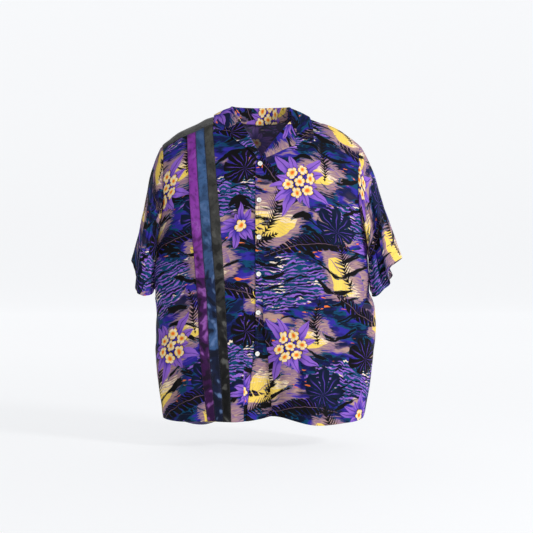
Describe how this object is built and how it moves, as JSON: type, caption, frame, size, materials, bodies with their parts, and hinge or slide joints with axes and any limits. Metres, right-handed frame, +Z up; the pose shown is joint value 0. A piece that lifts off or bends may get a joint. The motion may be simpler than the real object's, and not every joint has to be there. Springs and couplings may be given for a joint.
{
  "type": "ribbon shirt",
  "caption": "Short-sleeved camp-collar shirt in tropical print, filled out and hollow, with satin ribbons sewn down one front and along its shoulder.",
  "frame": {"origin": "mount shoulders: midway between the two points where the neck meets the shoulders, on the wearer's middle plane", "axes": "+X towards the wearer's left side, +Y towards the back, so that the front faces -Y, +Z up from the hem to the collar"},
  "size_m": [0.6731, 0.2383, 0.8075],
  "materials": {
    "printed_cloth": "soft plain-woven rayon, printed in blue-violet, lilac, teal, near-black and pale yellow",
    "purple_satin": "polyester satin ribbon with a bright sheen",
    "blue_satin": "polyester satin ribbon with a bright sheen",
    "black_satin": "polyester satin ribbon with a soft sheen",
    "button": "polished off-white"
  },
  "bodies": {
    "root": {"front_left": "printed_cloth", "front_right": "printed_cloth", "back": "printed_cloth", "facing_left": "printed_cloth", "facing_right": "printed_cloth", "collar": "printed_cloth", "sleeve_left": "printed_cloth", "sleeve_right": "printed_cloth", "ribbon_purple": "purple_satin", "ribbon_blue": "blue_satin", "ribbon_black": "black_satin", "ribbon_shoulder": "black_satin", "button_1": "button", "button_2": "button", "button_3": "button", "button_4": "button", "button_5": "button", "button_6": "button"}
  },
  "joints": []
}
